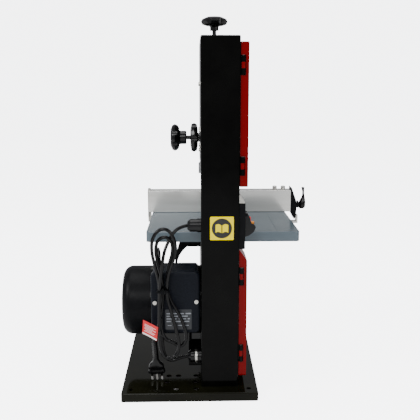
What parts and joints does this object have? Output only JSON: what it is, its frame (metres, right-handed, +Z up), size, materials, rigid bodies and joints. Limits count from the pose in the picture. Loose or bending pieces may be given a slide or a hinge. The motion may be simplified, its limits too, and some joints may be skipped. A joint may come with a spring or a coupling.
{
  "type": "band saw",
  "caption": "Bench band saw: two wheels carry a blade loop past a tilting slotted table with a rip fence, driven by a rear motor and tensioned from above.",
  "frame": {"origin": "centre of the four bench bolt holes, on the underside of the base pan", "axes": "+X to the right seen from the doors, +Y to the back of the machine where the motor is, +Z up"},
  "size_m": [0.392, 0.4015, 0.718],
  "materials": {
    "black_gloss": "gloss",
    "red_paint": "gloss",
    "black_plastic": "matte",
    "black_gloss_plastic": "gloss",
    "zinc_steel": "satin",
    "bright_steel": "satin",
    "table_grey": "satin",
    "aluminium": "satin",
    "cast_alu": "cast",
    "cast_iron": "satin",
    "tyre_rubber": "matte",
    "label": "satin",
    "copper": "wound",
    "cord_pvc": "gloss",
    "tag_red": "satin",
    "red_button": "gloss",
    "green_button": "gloss"
  },
  "bodies": {
    "frame": {"base_pan": "black_gloss", "cable_glands": "black_gloss_plastic", "cable_tie": "black_plastic", "column": "black_gloss", "cord_hank": "cord_pvc", "cord_tag": "tag_red", "fan_cover": "black_plastic", "hinge_pins": "zinc_steel", "labels": "label", "lower_guide_bracket": "zinc_steel", "lower_housing": "black_gloss", "machine_screws": "zinc_steel", "mains_cord": "cord_pvc", "mains_plug": "black_gloss_plastic", "motor_bearings": "bright_steel", "motor_end_shields": "black_gloss", "motor_frame": "black_gloss", "motor_lead": "cord_pvc", "saw_blade": "bright_steel", "stator": "copper", "switch_body": "black_plastic", "switch_bracket": "zinc_steel", "terminal_box": "black_plastic", "terminal_lid": "black_gloss_plastic", "trunnion_base": "cast_iron", "upper_housing": "black_gloss"},
    "upper_door": {"upper_door": "red_paint"},
    "lower_door": {"lower_door": "red_paint"},
    "upper_latch": {"upper_latch": "black_plastic"},
    "lower_latch": {"lower_latch": "black_plastic"},
    "carriage": {"tension_carriage": "cast_iron"},
    "tension_knob": {"tension_knob": "black_gloss_plastic"},
    "axle_bracket": {"axle_bracket": "cast_iron", "bracket_pins": "bright_steel"},
    "tracking_knob": {"tracking_knob": "black_gloss_plastic"},
    "lock_knob": {"lock_knob": "black_gloss_plastic"},
    "rotor": {"rotor": "bright_steel", "lower_wheel": "cast_alu", "lower_tyre": "tyre_rubber", "cooling_fan": "black_plastic"},
    "upper_wheel": {"upper_wheel": "cast_alu", "upper_tyre": "tyre_rubber", "upper_bearings": "bright_steel"},
    "guide": {"guide_post": "zinc_steel", "guide_bracket": "cast_alu", "blade_guard": "black_plastic"},
    "upper_thrust": {"upper_thrust": "bright_steel"},
    "lower_thrust": {"lower_thrust": "bright_steel"},
    "post_lock": {"post_lock": "black_gloss_plastic"},
    "table": {"table": "table_grey", "table_trunnions": "cast_iron", "table_insert": "aluminium"},
    "tilt_lever": {"tilt_lever": "black_plastic"},
    "fence": {"fence_rail": "aluminium", "fence_head": "black_plastic", "fence_fittings": "zinc_steel"},
    "fence_lever": {"fence_lever": "black_gloss_plastic"},
    "switch_flap": {"switch_flap": "black_gloss_plastic"},
    "stop_button": {"stop_button": "red_button"},
    "start_button": {"start_button": "green_button"}
  },
  "joints": [
    {"name": "upper_door_hinge", "type": "hinge", "parent": "frame", "child": "upper_door", "pos_m": [-0.131, -0.0976, 0.53], "axis": [0, 0, -1], "range_deg": [0, 110]},
    {"name": "lower_door_hinge", "type": "hinge", "parent": "frame", "child": "lower_door", "pos_m": [-0.131, -0.0976, 0.16], "axis": [0, 0, -1], "range_deg": [0, 110]},
    {"name": "upper_latch_turn", "type": "hinge", "parent": "upper_door", "child": "upper_latch", "pos_m": [0.112, -0.108, 0.548], "axis": [0, 1, 0], "range_deg": [0, 90]},
    {"name": "lower_latch_turn", "type": "hinge", "parent": "lower_door", "child": "lower_latch", "pos_m": [0.112, -0.108, 0.142], "axis": [0, 1, 0], "range_deg": [0, 90]},
    {"name": "tension_slide", "type": "slide", "parent": "frame", "child": "carriage", "axis": [0, 0, -1], "range_m": [0, 0.006]},
    {"name": "tension_knob_turn", "type": "hinge", "parent": "frame", "child": "tension_knob", "pos_m": [0.006, -0.0505, 0.7], "axis": [0, 0, 1], "range_deg": [0, 1728]},
    {"name": "tracking_tilt", "type": "hinge", "parent": "carriage", "child": "axle_bracket", "pos_m": [0.006, -0.038, 0.558], "axis": [1, 0, 0], "range_deg": [-1, 1]},
    {"name": "tracking_knob_turn", "type": "hinge", "parent": "carriage", "child": "tracking_knob", "pos_m": [0.006, 0, 0.485], "axis": [0, 1, 0], "range_deg": [-368, 368]},
    {"name": "lock_knob_turn", "type": "hinge", "parent": "carriage", "child": "lock_knob", "pos_m": [0.006, 0, 0.485], "axis": [0, 1, 0], "range_deg": [0, 180]},
    {"name": "motor_spin", "type": "hinge", "parent": "frame", "child": "rotor", "pos_m": [0.006, 0, 0.1465], "axis": [0, 1, 0], "continuous": true},
    {"name": "upper_wheel_spin", "type": "hinge", "parent": "axle_bracket", "child": "upper_wheel", "pos_m": [0.006, -0.068, 0.5447], "axis": [0, 1, 0], "continuous": true},
    {"name": "guide_height", "type": "slide", "parent": "frame", "child": "guide", "axis": [0, 0, 1], "range_m": [-0.078, 0]},
    {"name": "upper_thrust_spin", "type": "hinge", "parent": "guide", "child": "upper_thrust", "pos_m": [0.106, -0.0572, 0.4045], "axis": [1, 0, 0], "continuous": true},
    {"name": "lower_thrust_spin", "type": "hinge", "parent": "frame", "child": "lower_thrust", "pos_m": [0.106, -0.0572, 0.2705], "axis": [1, 0, 0], "continuous": true},
    {"name": "post_lock_turn", "type": "hinge", "parent": "frame", "child": "post_lock", "pos_m": [0.134, -0.045, 0.455], "axis": [1, 0, 0], "range_deg": [0, 180]},
    {"name": "table_tilt", "type": "hinge", "parent": "frame", "child": "table", "pos_m": [0.106, 0, 0.307], "axis": [0, 1, 0], "range_deg": [0, 45]},
    {"name": "tilt_lever_turn", "type": "hinge", "parent": "frame", "child": "tilt_lever", "pos_m": [0.106, 0.03, 0.282], "axis": [0, -1, 0], "range_deg": [0, 60]},
    {"name": "fence_slide", "type": "slide", "parent": "table", "child": "fence", "axis": [1, 0, 0], "range_m": [-0.012, 0.062]},
    {"name": "fence_lever_turn", "type": "hinge", "parent": "fence", "child": "fence_lever", "pos_m": [0.151, -0.25, 0.322], "axis": [0, 1, 0], "range_deg": [0, 90]},
    {"name": "switch_flap_hinge", "type": "hinge", "parent": "frame", "child": "switch_flap", "pos_m": [-0.116, -0.1063, 0.353], "axis": [-1, 0, 0], "range_deg": [0, 100]},
    {"name": "stop_button_press", "type": "slide", "parent": "frame", "child": "stop_button", "axis": [0, 1, 0], "range_m": [0, 0.0025], "stiffness_N_per_m": 400},
    {"name": "start_button_press", "type": "slide", "parent": "frame", "child": "start_button", "axis": [0, 1, 0], "range_m": [0, 0.0025], "stiffness_N_per_m": 400}
  ],
  "couplings": [
    {"joint": "upper_wheel_spin", "follows": "motor_spin", "ratio": 1},
    {"joint": "tension_knob_turn", "follows": "tension_slide", "rad_per_m": 5026.6},
    {"joint": "tracking_knob_turn", "follows": "tracking_tilt", "ratio": 366.9}
  ]
}
